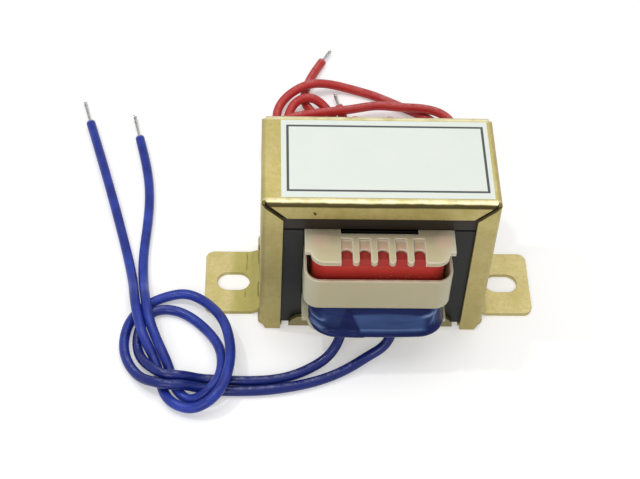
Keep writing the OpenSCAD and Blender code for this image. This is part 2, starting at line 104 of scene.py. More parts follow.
def piece(name, points, faces, body="root"):
    """A smooth mesh object from an array of points and one or more arrays of faces."""
    mesh = bpy.data.meshes.new(name)
    groups = [np.asarray(f) for f in (faces if isinstance(faces, list) else [faces])]
    mesh.from_pydata(points.reshape(-1, 3), [], [row for f in groups for row in f.tolist()])
    mesh.validate()
    mesh.polygons.foreach_set("use_smooth", np.ones(len(mesh.polygons), bool))
    made = bpy.data.objects.new(name, mesh)
    bpy.context.scene.collection.objects.link(made)
    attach(made, body)
    return made


def mark(made, name, values):
    """A number for each point of a mesh, for its finish to read."""
    made.data.attributes.new(name, "FLOAT", "POINT").data.foreach_set("value", values)


def grid_faces(rows, columns):
    """The quads of a grid of rows by columns, whose columns close into a ring."""
    i, j = np.meshgrid(np.arange(rows - 1), np.arange(columns), indexing="ij")
    k = (j + 1) % columns
    corners = [i * columns + j, i * columns + k, (i + 1) * columns + k, (i + 1) * columns + j]
    return np.stack(corners, -1).reshape(-1, 4)


def capped(rows, columns, first=0):
    """Grid faces with an end cap on the first and on the last ring."""
    return [
        grid_faces(rows, columns) + first,
        np.arange(columns)[None, ::-1] + first,
        np.arange(columns)[None] + first + (rows - 1) * columns,
    ]


def spline(points, step):
    """A natural cubic spline through the points, sampled about every step. Its second
    derivatives m solve h0 m0 + 2 (h0 + h1) m1 + h1 m2 = 6 (slope1 - slope0) at each
    inner knot, where h is the distance between knots."""
    p = np.asarray(points, float)
    h = np.linalg.norm(np.diff(p, axis=0), axis=1)
    knots = np.concatenate([[0], np.cumsum(h)])
    slope = np.diff(p, axis=0) / h[:, None]
    n = len(p)
    system = np.eye(n)
    inner = np.arange(1, n - 1)
    system[inner, inner - 1] = h[:-1]
    system[inner, inner] = 2 * (h[:-1] + h[1:])
    system[inner, inner + 1] = h[1:]
    right = np.zeros((n, 3))
    right[1:-1] = 6 * np.diff(slope, axis=0)
    m = np.linalg.solve(system, right)
    t = np.linspace(0, knots[-1], int(knots[-1] / step) + 2)
    k = np.clip(np.searchsorted(knots, t) - 1, 0, n - 2)
    a = ((knots[k + 1] - t) / h[k])[:, None]
    b = 1 - a
    bend = ((a**3 - a) * m[k] + (b**3 - b) * m[k + 1]) * (h[k] ** 2)[:, None] / 6
    return a * p[k] + b * p[k + 1] + bend


def carried_frame(path):
    """Tangents along a path, with two normals carried along it without twist: each normal
    is the last one less its part along the new tangent."""
    tangent = np.gradient(path, axis=0)
    tangent /= np.linalg.norm(tangent, axis=1)[:, None]
    start = np.array([1.0, 0, 0]) if abs(tangent[0][2]) > 0.5 else np.array([0, 0, 1.0])
    normal = np.empty_like(path)
    for i, t in enumerate(tangent):
        start = start - start.dot(t) * t
        start /= np.linalg.norm(start)
        normal[i] = start
    return tangent, normal, np.cross(tangent, normal)


def tube(path, radius, around):
    """Rings of points about a path: centre + radius (cos a n + sin a b), where radius may
    be one number or one for each point of the path."""
    _, n, b = carried_frame(path)
    a = 2 * np.pi * np.arange(around) / around
    r = np.broadcast_to(radius, len(path))[:, None, None]
    rim = np.cos(a)[None, :, None] * n[:, None] + np.sin(a)[None, :, None] * b[:, None]
    return path[:, None] + r * rim


def arc_length(path):
    return float(np.linalg.norm(np.diff(path, axis=0), axis=1).sum())


# ---- Leads ----

LEAD_D = 2.3 * MM
PATH_STEP = 0.5 * MM
AROUND = 24
# How far the insulation's radius wavers each way, as a share of it, and how often
WAVER = 0.008
WAVER_LENGTH = 17 * MM

STRANDS = 7
STRAND_R = 0.14 * MM
STRAND_AROUND = 8
STRAND_RINGS = 36
LAY_PITCH = 4.5 * MM
RED_BARE = 5 * MM
BLUE_BARE = 8.5 * MM

# The leads' centre lines in mm, from the body to the cut end, as in part.scad
RED_ROUTE_A = [
    (4, 19.2, 30.2), (4, 22.5, 30), (4.5, 26, 27.6), (5, 28.3, 23), (6, 29, 17.5),
    (8, 30, 11.5), (11.5, 31.5, 6), (16, 35, 2.4), (21, 40, 1.2), (24, 46, 1.8),
    (22, 51.5, 3.2), (16.5, 54, 3.7), (10.5, 54.5, 3.7), (4.5, 55, 3.6), (-2, 53.5, 3.8),
    (-8.5, 52.4, 3.8), (-15, 51, 3.8), (-19.5, 49, 3.8), (-22, 46.4, 3.5), (-23.4, 42.5, 2),
    (-23.2, 38, 1.2), (-19.5, 34.5, 1.2), (-14, 33.5, 1.2), (-8, 34.5, 1.2), (-4, 39, 1.2),
    (-3, 44, 1.2), (-3.5, 50, 1.2), (-5, 56.8, 1.2),
]
RED_ROUTE_B = [
    (-3.5, 19.2, 30.2), (-3.5, 22.5, 30), (-3.5, 26, 27.6), (-3, 28.3, 23), (-1.5, 29, 17.5),
    (1, 30, 11.5), (5, 32.5, 6), (10, 36, 2.4), (15, 40, 1.2), (19, 44.5, 1.2),
    (19.5, 50.5, 1.2), (14.5, 55, 1.2), (8.5, 58.5, 1.2), (4, 61, 1.2), (-1.5, 63, 1.4),
    (-7, 63.5, 2.6), (-12.2, 62.3, 3.8), (-16.8, 60, 3.2), (-20.3, 56, 1.8), (-21, 51, 1.2),
    (-20.3, 45.5, 1.2), (-17.5, 40.5, 1.2), (-12.5, 38.5, 1.2), (-7.5, 41, 1.2),
    (-6, 46.5, 1.2), (-6.5, 52, 1.2), (-8.8, 55.8, 2.2), (-12.4, 57.3, 3.8), (-16, 56.4, 3.1),
    (-18, 53, 1.4), (-18, 47.5, 1.2), (-17, 44.4, 1.2), (-14.9, 42.6, 1.2), (-12, 42.6, 1.2),
    (-9.8, 44.4, 1.2), (-8.9, 48, 1.2), (-11, 53.5, 1.2), (-13.6, 58, 1.2),
    (-13.3, 63.5, 1.2), (-9, 73.5, 1.2),
]
BLUE_ROUTE_A = [
    (4.3, -19, 10.5), (3.9, -20, 7.7), (2.5, -21.3, 5.4), (-0.5, -22.5, 3.4),
    (-4.8, -24.6, 1.8), (-10.5, -27.3, 1.2), (-22, -30.3, 1.2), (-35.5, -30.6, 1.2),
    (-39.5, -30.5, 2.4), (-42.2, -30.9, 3.7), (-45, -31, 3.9), (-47.5, -30.2, 3.6),
    (-50.3, -28.3, 2.2), (-53, -25, 1.3), (-54.7, -21, 1.2), (-55, -16.5, 1.2),
    (-54.1, -12.4, 1.2), (-51.9, -8.8, 1.2), (-48.8, -6.3, 1.2), (-45.5, -5, 1.5),
    (-41.5, -5.1, 2.3), (-38.3, -6.7, 2.5), (-35.8, -9.4, 3.2), (-33.4, -13.5, 4.4),
    (-31.8, -19, 5.4), (-31.3, -25, 5.8), (-32.1, -30, 5.8), (-33.8, -33.6, 5),
    (-36.7, -35.8, 3.6), (-40, -36, 2.2), (-43.3, -34.6, 1.9), (-45.6, -31.3, 1.2),
    (-46.8, -27, 1.2), (-48.2, -22.4, 1.5), (-50.4, -18.2, 3.1), (-52.1, -13, 3.9),
    (-53.1, -8, 3.8), (-54, -1.5, 1.8), (-57, 12, 1.2), (-67.5, 50, 1.2),
]
BLUE_ROUTE_B = [
    (-7.1, -19, 10.5), (-7.2, -19.9, 7.7), (-8, -21, 5.2), (-10, -22.8, 3),
    (-13.5, -24.8, 1.7), (-18.2, -26.8, 1.2), (-24, -28, 1.2), (-33, -28, 1.2),
    (-38, -27.7, 1.4), (-40.7, -28.1, 2.8), (-43, -28.5, 3.8), (-45.5, -28.3, 3.9),
    (-48.3, -26.3, 3.3), (-50.5, -23.5, 2.2), (-51.9, -19.8, 1.3), (-52, -15.5, 1.2),
    (-50.7, -11.5, 1.2), (-48.3, -9.1, 1.2), (-45, -8.8, 1.2), (-41, -10.5, 1.2),
    (-37.9, -13.3, 1.3), (-35.2, -17.4, 2.3), (-33.5, -22, 3.4), (-33.2, -26, 3.9),
    (-34, -29.6, 4), (-35.7, -32, 3.6), (-38, -33.1, 2.1), (-40.3, -33, 1.2),
    (-42.3, -31.3, 1.2), (-43.6, -29, 1.2), (-44.5, -26, 1.5), (-46, -22.5, 2.9),
    (-48, -17.7, 3.1), (-49.8, -12.5, 3.9), (-50.8, -7.2, 3.9), (-51.5, -2, 1.9),
    (-52, 4.5, 1.2), (-51.6, 17.5, 1.2), (-51.9, 29, 1.2), (-55, 45, 1.2),
]


def strand_bundle(name, start, along, length, seed):
    """Seven tinned strands: one down the middle and six laid round it as helices, whose
    radius opens a little at the free tip, where they were cut."""
    rng = np.random.default_rng(seed)
    t = np.linspace(0, 1, STRAND_RINGS)
    side = np.cross(along, [0, 0, 1.0])
    side /= np.linalg.norm(side)
    up = np.cross(side, along)
    sway = 0.12 * MM * (t**2)[:, None] * side
    middle = start + along * (t[:, None] - 0.06) * length + sway
    points, faces = [], []
    laid = STRANDS - 1
    for k in range(STRANDS):
        turn = 2 * np.pi * (k / laid + t * length / LAY_PITCH)
        away = 1.9 * STRAND_R * (k < laid) * (0.8 + 0.55 * t**2)[:, None]
        reach = 1 - 0.1 * rng.random()
        path = middle + away * (np.outer(np.cos(turn), side) + np.outer(np.sin(turn), up))
        path = start + (path - start) * reach
        first = len(points) * STRAND_RINGS * STRAND_AROUND
        faces += capped(STRAND_RINGS, STRAND_AROUND, first)
        points.append(tube(path, STRAND_R, STRAND_AROUND))
    return piece(name, np.stack(points), faces)


def lead(colour, letter, route, bare, seed):
    """An insulated lead along its route, cut square at its end, with its bare strands.
    The insulation's radius wavers a little along it, as soft vinyl's does, and is never
    more than half the diameter."""
    path = spline(np.array(route) * MM, PATH_STEP)
    path[:, 2] = np.maximum(path[:, 2], LEAD_D / 2)
    wave = np.linspace(0, 1, len(path)) * arc_length(path) / WAVER_LENGTH
    radius = LEAD_D / 2 * (1 - WAVER + WAVER * np.sin(2 * np.pi * wave + seed))
    # One more ring, a little further on and thinner, eases the rim of the cut
    end = path[-1] + (path[-1] - path[-2]) * 0.04
    path = np.vstack([path, end])
    radius = np.append(radius, radius[-1] * 0.93)
    rings = tube(path, radius, AROUND)
    sleeve = piece(f"{colour}_sleeve_{letter}", rings, capped(len(path), AROUND))
    run = np.concatenate([[0], np.cumsum(np.linalg.norm(np.diff(path, axis=0), axis=1))]) / MM
    mark(sleeve, "run", np.repeat(run, AROUND))
    mark(sleeve, "rest", np.repeat(run[-1] - run, AROUND))
    along = path[-1] - path[-8]
    along /= np.linalg.norm(along)
    strands = strand_bundle(f"{colour}_tinned_{letter}", path[-1], along, bare, seed)
    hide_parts(f"{colour}_lead_{letter}")
    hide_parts(f"{colour}_strands_{letter}")
    return sleeve, strands


leads = {
    "red": [
        lead("red", "a", RED_ROUTE_A, RED_BARE, 1),
        lead("red", "b", RED_ROUTE_B, RED_BARE, 2),
    ],
    "blue": [
        lead("blue", "a", BLUE_ROUTE_A, BLUE_BARE, 3),
        lead("blue", "b", BLUE_ROUTE_B, BLUE_BARE, 4),
    ],
}


# ---- Secondary's wrap, in millimetres until it becomes a mesh ----

# Half the width and half the depth of the winding that the film goes round
WRAP_BASE = (13.7, 18.6)
# How far the wrap stands out at the sides and at the front, and its height
WRAP_PROFILE = [
    (0.1, 0.1, 10.97), (0.5, 3.2, 10.98), (0.8, 4.7, 11.15), (0.95, 5.15, 11.7),
    (0.95, 5.15, 12.3), (0.85, 4.75, 12.9), (0.78, 4.3, 13.6), (0.75, 3.8, 14.6),
    (0.72, 3.35, 15.6), (0.66, 2.95, 16.6), (0.54, 2.6, 17.5), (0.3, 2.1, 18.15),
    (0.1, 0.1, 18.22),
]
PROFILE_STEP = 0.16
# The inner wall's least gap and corner radius, and how much wider the outer corners are
INNER_GAP = 0.05
INNER_CORNER = 4
CORNER_GAIN = 1.5
# How far the front and back bow, the shell is shifted to the right and the middle sinks
FRONT_BOW = 0.5
SIDE_SHIFT = 0.4
MIDDLE_SINK = 0.35
# How far the lap stands out, and how high the creases and the crumples are
LAP_STEP = 0.2
LAP_CREASE = 0.16
FINE_CREASE = 0.06
CRUMPLE_HEIGHT = 0.5


def smooth_step(x, low, high):
    """0 below low, 1 above high, and 3 u^2 - 2 u^3 between them."""
    u = np.clip((x - low) / (high - low), 0, 1)
    return u * u * (3 - 2 * u)


def ridge(x, middle, half_width):
    """A bell, e^-(u^2), where u is the distance from the middle over the half width."""
    return np.exp(-(((x - middle) / half_width) ** 2))


def rounded_ring(half_x, half_y, corner, front=90, side=50, arc=16):
    """Rounded rectangles, one a row: the point at (a (half_x - corner) + corner cos t,
    b (half_y - corner) + corner sin t), where a, b and t follow the outline from the front
    left, round to the right and back."""
    turn = np.linspace(0, np.pi / 2, arc, endpoint=False)
    across = np.linspace(-1, 1, front, endpoint=False)
    along = np.linspace(-1, 1, side, endpoint=False)
    one, flat_front, flat_side = np.ones(arc), np.ones(front), np.ones(side)
    a = np.concatenate([across, one, flat_side, one, -across, -one, -flat_side, -one])
    b = np.concatenate([-flat_front, -one, along, one, flat_front, one, -along, -one])
    t = np.concatenate(
        [
            -np.pi / 2 * flat_front, turn - np.pi / 2, 0 * flat_side, turn,
            np.pi / 2 * flat_front, turn + np.pi / 2, np.pi * flat_side, turn + np.pi,
        ]
    )
    x = a * (half_x - corner)[:, None] + corner[:, None] * np.cos(t)
    y = b * (half_y - corner)[:, None] + corner[:, None] * np.sin(t)
    return x, y, t


def folds(x, y, z, seed, size, count):
    """Creases between 0 and 1: the sharp crests of a few waves that run across each other,
    the highest of 1 - |sin| raised to the fourth power."""
    rng = np.random.default_rng(seed)
    high = np.zeros_like(x)
    for heading, shift, bend in rng.random((count, 3)):
        slant = np.pi * heading
        run = (x + y) * np.cos(slant) + z * np.sin(slant)
        run = run + 0.25 * size * np.sin(z / size + 9 * bend)
        high = np.maximum(high, (1 - np.abs(np.sin(run / size + 9 * shift))) ** 4)
    return high


def film_forms(x, y, z, facing):
    """Each from 0 to 1: the front; the middle, slack between the corners and above a full
    hem; the lap, left of a slanting edge, and its slack part above the hem; creases all
    over, strongest on the slack lap; and the loose left corner, with the crumples in it."""
    front = smooth_step(-y, 11, 17)
    middle = smooth_step(x, -11.6, -10.2) * smooth_step(11.2 - x, 0, 1.6)
    middle = middle * smooth_step(z, 12.6, 13.0) * facing
    lap_edge = -3.6 - 0.54 * (z - 13.15)
    lap = front * smooth_step(lap_edge - x, 0, 0.35)
    slack_and_sheen = lap * smooth_step(z, 11.3, 12.2)
    creased = folds(x, y, z, seed=5, size=2.6, count=4) * (0.2 + 0.8 * slack_and_sheen)
    loose = smooth_step(3.2 - np.hypot(x + 12.8, z - 14.4), 0, 2) * front
    crumpled = folds(x, y, z, seed=11, size=1.3, count=5) * loose
    return front, middle, lap, slack_and_sheen, creased, loose, crumpled


def film_sheen_and_shade(x, z, facing, forms):
    """How much painted reflection the film carries, from 0 to about 1: a pale middle, drawn
    dark above an arc as painted shade; a painted glint along the middle's foot; a pale
    patch between the lap's torn edge and the corner; a broken upright glint and a short
    slanting glint at the right; a glint along the hem's edge; and glints on the crumples."""
    front, middle, lap, _, creased, loose, crumpled = forms
    # Painted shade: the band above the arc, under the shroud, is drawn dark.
    below_arc = 1 - smooth_step(z + 0.008 * (x - 1) ** 2, 16.2, 16.9)
    foot_glint = ridge(z, 13.05, 0.17) * smooth_step(11.5 - np.abs(x), 0, 2) * facing
    torn_edge = -6.6 + 0.31 * (z - 18)
    reflection_patch = smooth_step(x, -12.4, -11.6) * smooth_step(torn_edge - x, 0, 0.7)
    reflection_patch = reflection_patch * smooth_step(z, 13.3, 14.1) * (1 - 0.5 * creased) * lap * facing
    # Painted glints at the right: a broken upright and a short slant.
    upright = ridge(x, 12.2 + 0.1 * (z - 15), 0.75) * smooth_step(z, 13.4, 14.6)
    upright = upright * (0.7 + 0.3 * np.sin(9 * x + 2 * z))
    slant = ridge(x, 11, 1.2) * ridge(z, 16.1 + 0.2 * (x - 11), 0.4)
    hem_glint = ridge(z, 11.5, 0.16) * smooth_step(x, 1, 5)
    pale = 0.43 * middle * (0.03 + 0.97 * below_arc) * (1 - lap) + 0.14 * reflection_patch
    pale = pale + 0.3 * foot_glint * (1 - 0.8 * lap) + 0.95 * crumpled * loose
    return pale + (0.9 * upright + 1.17 * slant + 0.4 * hem_glint) * front


def secondary_wrap():
    """The film wound round the secondary: the profile carried round a rounded rectangle,
    closed up its inner wall. Its front and back fall away to the sides by a square law,
    and its forms push it in and out along the outline's normal."""
    out_x, out_y, height = spline(WRAP_PROFILE, PROFILE_STEP).T
    out_x, out_y = np.maximum(out_x, INNER_GAP), np.maximum(out_y, INNER_GAP)
    corner = INNER_CORNER + CORNER_GAIN * smooth_step(out_y, 0, 5)
    x, y, t = rounded_ring(WRAP_BASE[0] + out_x, WRAP_BASE[1] + out_y, corner)
    z = np.broadcast_to(height[:, None], x.shape)
    shell = smooth_step(out_y, 1.2, 2.4)[:, None]
    facing = np.sin(t) ** 2
    y = y - np.sign(y) * FRONT_BOW * (x / WRAP_BASE[0]) ** 2 * facing * shell
    forms = film_forms(x, y, z, facing)
    _, middle, lap, slack_and_sheen, creased, _, crumpled = forms
    out = LAP_STEP * lap * facing - MIDDLE_SINK * middle
    out = out + (LAP_CREASE * slack_and_sheen + FINE_CREASE) * creased + CRUMPLE_HEIGHT * crumpled
    out = out * shell
    aside = SIDE_SHIFT * shell
    points = np.stack([x + out * np.cos(t) + aside, y + out * np.sin(t), z], -1) * MM
    rows, columns = x.shape
    faces = grid_faces(rows + 1, columns) % (rows * columns)
    made = piece("secondary_wrap", points, faces)
    # The film's painted reflections, glints and shade, as numbers for its finish
    mark(made, "painted_sheen", (film_sheen_and_shade(x, z, facing, forms) * shell).ravel())
    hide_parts("secondary_tape")
    return made


blue_wrap = secondary_wrap()


# ---- Nodes that the finishes are made of ----


def finish(name, **sockets):
    """A material whose shader has these socket values, and its node tree and shader."""
    made = bpy.data.materials.new(name)
    made.use_nodes = True
    shader = made.node_tree.nodes["Principled BSDF"]
    for socket, value in sockets.items():
        shader.inputs[socket.replace("_", " ")].default_value = value
    return made, made.node_tree, shader


def add(tree, kind, values=None, **settings):
    """A shader node of a kind, with its settings, and its inputs set or linked."""
    made = tree.nodes.new("ShaderNode" + kind)
    for setting, value in settings.items():
        setattr(made, setting, value)
    for socket, value in (values or {}).items():
        if isinstance(value, bpy.types.NodeSocket):
            tree.links.new(value, made.inputs[socket])
        else:
            made.inputs[socket].default_value = value
    return made


def feed(tree, shader, socket, output):
    tree.links.new(output, shader.inputs[socket])


def math_node(tree, operation, *values):
    return add(tree, "Math", dict(enumerate(values)), operation=operation).outputs[0]


def times(tree, first, *others):
    """The product of some values."""
    for value in others:
        first = math_node(tree, "MULTIPLY", first, value)
    return first


def between(tree, value, low, high):
    """0 at low, 1 at high, even between them, and level past them. Low may be the higher."""
    values = {"Value": value, "From Min": low, "From Max": high}
    return add(tree, "MapRange", values, clamp=True).outputs["Result"]


def blend_colours(tree, factor, a, b):
    values = {0: factor, 6: a, 7: b}
    return add(tree, "Mix", values, data_type="RGBA").outputs[2]


def axes_of(tree, vector):
    return add(tree, "SeparateXYZ", {0: vector}).outputs


def place(tree, stretch=(1, 1, 1)):
    """The point on the piece, in metres, with its axes stretched."""
    where = add(tree, "TexCoord").outputs["Object"]
    return add(tree, "Mapping", {"Vector": where, "Scale": stretch}).outputs["Vector"]


def unsteady(tree, size, sway):
    """The point on the piece, moved about by up to half of sway in waves of a size."""
    values = {"Vector": place(tree), "Scale": 1 / size, "Detail": 2.0}
    drift = add(tree, "TexNoise", values).outputs["Color"]
    values = {0: drift, 1: (sway,) * 3, 2: (-sway / 2,) * 3}
    drift = add(tree, "VectorMath", values, operation="MULTIPLY_ADD").outputs[0]
    return add(tree, "VectorMath", {0: place(tree), 1: drift}, operation="ADD").outputs[0]


def noise(tree, size, detail=2.0, stretch=(1, 1, 1)):
    """Noise between 0 and 1 whose blobs are about size across."""
    values = {"Vector": place(tree, stretch), "Scale": 1 / size, "Detail": detail}
    return add(tree, "TexNoise", values).outputs["Fac"]


def blotches(tree, size, low, high, detail=2.0, stretch=(1, 1, 1)):
    """Noise whose part between low and high is drawn out to between 0 and 1."""
    return between(tree, noise(tree, size, detail, stretch), low, high)


def within(tree, where, low, high, soft):
    """1 between two corners in mm, and 0 past them over a soft border. None leaves an axis
    open on that side."""
    mask = 1.0
    for axis, a, b in zip(axes_of(tree, where), low, high):
        if a is not None:
            mask = times(tree, mask, between(tree, axis, (a - soft) * MM, a * MM))
        if b is not None:
            mask = times(tree, mask, between(tree, axis, (b + soft) * MM, b * MM))
    return mask


def disc(tree, centre, inner, outer):
    """1 within inner of a point in mm and 0 beyond outer."""
    values = {0: place(tree), 1: tuple(c * MM for c in centre)}
    away = add(tree, "VectorMath", values, operation="DISTANCE").outputs["Value"]
    return between(tree, away, outer * MM, inner * MM)


def edges(tree, radius, low=0.03, high=0.25):
    """Where a sharp edge is nearer than about radius, and the normal that rounds it: the
    mask grows with 1 - rounded normal . flat normal."""
    rounded = add(tree, "Bevel", {"Radius": radius}, samples=4).outputs["Normal"]
    flat = add(tree, "NewGeometry").outputs["Normal"]
    values = {0: rounded, 1: flat}
    cosine = add(tree, "VectorMath", values, operation="DOT_PRODUCT").outputs["Value"]
    return between(tree, cosine, 1 - low, 1 - high), rounded


def upward(tree):
    """How far the surface faces up: 1 on top and 0 on a wall."""
    return axes_of(tree, add(tree, "NewGeometry").outputs["Normal"])[2]


def carried(tree, name):
    """A number that the mesh carries for each of its points."""
    return add(tree, "Attribute", attribute_name=name).outputs["Fac"]


def bump(tree, shader, height, depth, strength=1.0, normal=None):
    """Raises the surface by the height, which is 0 to 1, times depth."""
    values = {"Height": height, "Distance": depth, "Strength": strength}
    if normal:
        values["Normal"] = normal
    feed(tree, shader, "Normal", add(tree, "Bump", values).outputs["Normal"])


# ---- Finishes, with their colours as linear red, green, blue and alpha ----

COVER_ZINC = ((0.56, 0.475, 0.2, 1), (0.465, 0.38, 0.15, 1))
PLATE_ZINC = ((0.6, 0.505, 0.245, 1), (0.505, 0.415, 0.182, 1))
# Bright zinc for worn edges and for the painted highlight on the cover's bend
WORN_AND_HIGHLIGHT_ZINC = (0.7, 0.64, 0.4, 1)
# Painted shade for the cover's lower flanges
LOWER_SHADE_ZINC = (0.33, 0.275, 0.115, 1)
# Greener zinc, a painted reflection beside the left ear's bend
BEND_REFLECTION_ZINC = (0.34, 0.31, 0.08, 1)
# Painted shade for the plate's upturned tabs
SHADED_ZINC = (0.17, 0.15, 0.065, 1)
GRIME = (0.12, 0.1, 0.06, 1)
# Dark stain for the nick and the ear's cracks, and the painted dark reflection under the cover's
# bend
STAIN_AND_DARK_REFLECTION = (0.05, 0.036, 0.008, 1)
RED_VINYL = ((0.66, 0.07, 0.06, 1), (0.46, 0.03, 0.028, 1))
BLUE_VINYL = ((0.03, 0.062, 0.42, 1), (0.01, 0.022, 0.21, 1))
COPPER = (0.45, 0.16, 0.06, 1)
INK = (0.05, 0.055, 0.055, 1)

# How far along a lead the varnish reaches, in mm: past the end of a red one
RED_DIPPED = 400
BLUE_DIPPED = 72

# How far the cover's front flange stands out from the first sheet
FLANGE_OUT = 0.9 * MM

# The cover's top, the face of its front flange, and the two ends of the nick in it
body_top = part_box("cover")[1][2]
body_face = -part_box("front_e_sheet")[0][1] + FLANGE_OUT
NICK = (-13.95, -12.9, 39.85)
NICK_END = (-13.75, -12.9, 39.45)


def scaled(colour, factor, lift=0.0):
    """A colour made darker or lighter by a factor, then lifted towards white."""
    return tuple(factor * c + lift for c in colour[:3]) + (1,)


def plated_steel(name, zinc, marks):
    """Zinc plate under a dull yellow passivation: cloudy, mottled olive, finely grained,
    specked and faintly dented, and bright on its edges. Marks are a function of the tree
    and the tint."""
    made, tree, shader = finish(name, Metallic=0.75, Roughness=0.42)
    light, dark = zinc
    olive = (dark[0] * 0.86, dark[1] * 0.93, dark[2] * 0.6, 1)
    tint = blend_colours(tree, blotches(tree, 7 * MM, 0.3, 0.7, 3), dark, light)
    green = blotches(tree, 5 * MM, 0.5, 0.85, 3, (1, 0.8, 0.5))
    tint = blend_colours(tree, green, tint, olive)
    mottle = times(tree, blotches(tree, 1.1 * MM, 0.42, 0.62, 3), 0.38)
    tint = blend_colours(tree, mottle, tint, olive)
    grain = times(tree, blotches(tree, 0.3 * MM, 0.35, 0.7), 0.32)
    tint = blend_colours(tree, grain, tint, scaled(dark, 0.62))
    tint = blend_colours(tree, blotches(tree, 0.55 * MM, 0.72, 0.77), tint, GRIME)
    worn, rounded = edges(tree, 0.22 * MM)
    worn = times(tree, worn, blotches(tree, 3 * MM, 0.3, 0.6, 3))
    tint = blend_colours(tree, worn, tint, WORN_AND_HIGHLIGHT_ZINC)
    feed(tree, shader, "Base Color", marks(tree, tint))
    feed(tree, shader, "Roughness", blotches(tree, 2 * MM, -0.6, 2.0, 4))
    dents = times(tree, noise(tree, 1.3 * MM), 3.0)
    height = math_node(tree, "ADD", noise(tree, 0.18 * MM, 3), dents)
    bump(tree, shader, height, 0.012 * MM, 0.6, rounded)
    return made


def cover_marks(tree, tint):
    """The flanges get painted shade lower down. The bend over the front and the back carries
    a painted highlight along its top, with a painted dark reflection under it, and the
    front flange has a nick."""
    axes = axes_of(tree, unsteady(tree, 4 * MM, 0.35 * MM))
    out, up = math_node(tree, "ABSOLUTE", axes[1]), axes[2]
    # Painted shade: the flanges are drawn darker towards the bottom.
    lower_shade = times(tree, between(tree, up, 37 * MM, 31 * MM), 0.3)
    tint = blend_colours(tree, lower_shade, tint, LOWER_SHADE_ZINC)
    # Painted highlight along the top of the front and back bend.
    highlight = times(
        tree,
        between(tree, out, body_face - 1.75 * MM, body_face - 1.3 * MM),
        between(tree, up, body_top - 0.32 * MM, body_top - 0.14 * MM),
        blotches(tree, 2.5 * MM, 0.15, 0.55, 3),
    )
    tint = blend_colours(tree, highlight, tint, WORN_AND_HIGHLIGHT_ZINC)
    # Painted dark reflection: a dark line under the bend's highlight.
    bend_dark_reflection = times(
        tree,
        between(tree, up, body_top - 0.12 * MM, body_top - 0.32 * MM),
        between(tree, up, body_top - 1.3 * MM, body_top - 0.95 * MM),
        between(tree, out, body_face - 1.0 * MM, body_face - 0.7 * MM),
        0.97,
    )
    tint = blend_colours(tree, bend_dark_reflection, tint, STAIN_AND_DARK_REFLECTION)
    nick = math_node(tree, "MAXIMUM", disc(tree, NICK, 0.22, 0.36), disc(tree, NICK_END, 0.2, 0.34))
    return blend_colours(tree, nick, tint, STAIN_AND_DARK_REFLECTION)


def plate_marks(tree, tint):
    """The upturned tabs get painted shade. The left ear is painted greener beside its bend, as
    a painted reflection where the sheet slopes, with short cracks where the sheet was bent."""
    # Painted shade on the upturned tabs.
    tab_shade = within(tree, place(tree), (-20, None, 1.6), (20, None, None), 0.8)
    tint = blend_colours(tree, times(tree, tab_shade, 0.75), tint, SHADED_ZINC)
    where = unsteady(tree, 1.6 * MM, 0.7 * MM)
    # Painted reflection: the ear beside its bend is drawn greener and darker.
    reflection_patch = within(tree, where, (-30.2, None, None), (-24.6, None, None), 1.8)
    tint = blend_colours(tree, times(tree, reflection_patch, 0.7), tint, BEND_REFLECTION_ZINC)
    cracks = [
        within(tree, where, (-28.05, 3.2, None), (-27.95, 8.2, None), 0.1),
        within(tree, where, (-28.3, -4.6, None), (-28.2, -3.1, None), 0.12),
        within(tree, where, (-25.35, 4.6, None), (-25.2, 8, None), 0.12),
        within(tree, where, (-25.4, -5, None), (-25.2, -1, None), 0.14),
    ]
    for crack in cracks:
        tint = blend_colours(tree, times(tree, crack, 0.55), tint, STAIN_AND_DARK_REFLECTION)
    return tint


def varnished_core():
    """Dark silicon steel under a thin gloss varnish, with slow ripples in it. The sheets
    above the joint carry a painted warm sheen, and the joint itself is a black line, with no
    gloss of its own because it is black metal there."""
    made, tree, shader = finish("varnished_core", Roughness=0.35, Specular_IOR_Level=0.22)
    dark, light = (0.01, 0.012, 0.01, 1), (0.022, 0.024, 0.021, 1)
    upper_sheet_sheen, gap = (0.04, 0.026, 0.016, 1), (0.001, 0.001, 0.001, 1)
    shade = blend_colours(tree, noise(tree, 6 * MM, 4), dark, light)
    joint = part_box("front_e_sheet")[1][2] / MM
    upper = within(tree, place(tree), (None, None, joint), (None,) * 3, 0.1)
    # Painted reflection: the sheets above the joint are drawn warmer.
    shade = blend_colours(tree, times(tree, upper, 0.6), shade, upper_sheet_sheen)
    seam = within(tree, place(tree), (None, None, joint - 0.3), (None, None, joint + 0.1), 0.12)
    feed(tree, shader, "Metallic", seam)
    feed(tree, shader, "Base Color", blend_colours(tree, seam, shade, gap))
    bump(tree, shader, noise(tree, 5 * MM), 0.08 * MM, 0.5)
    return made


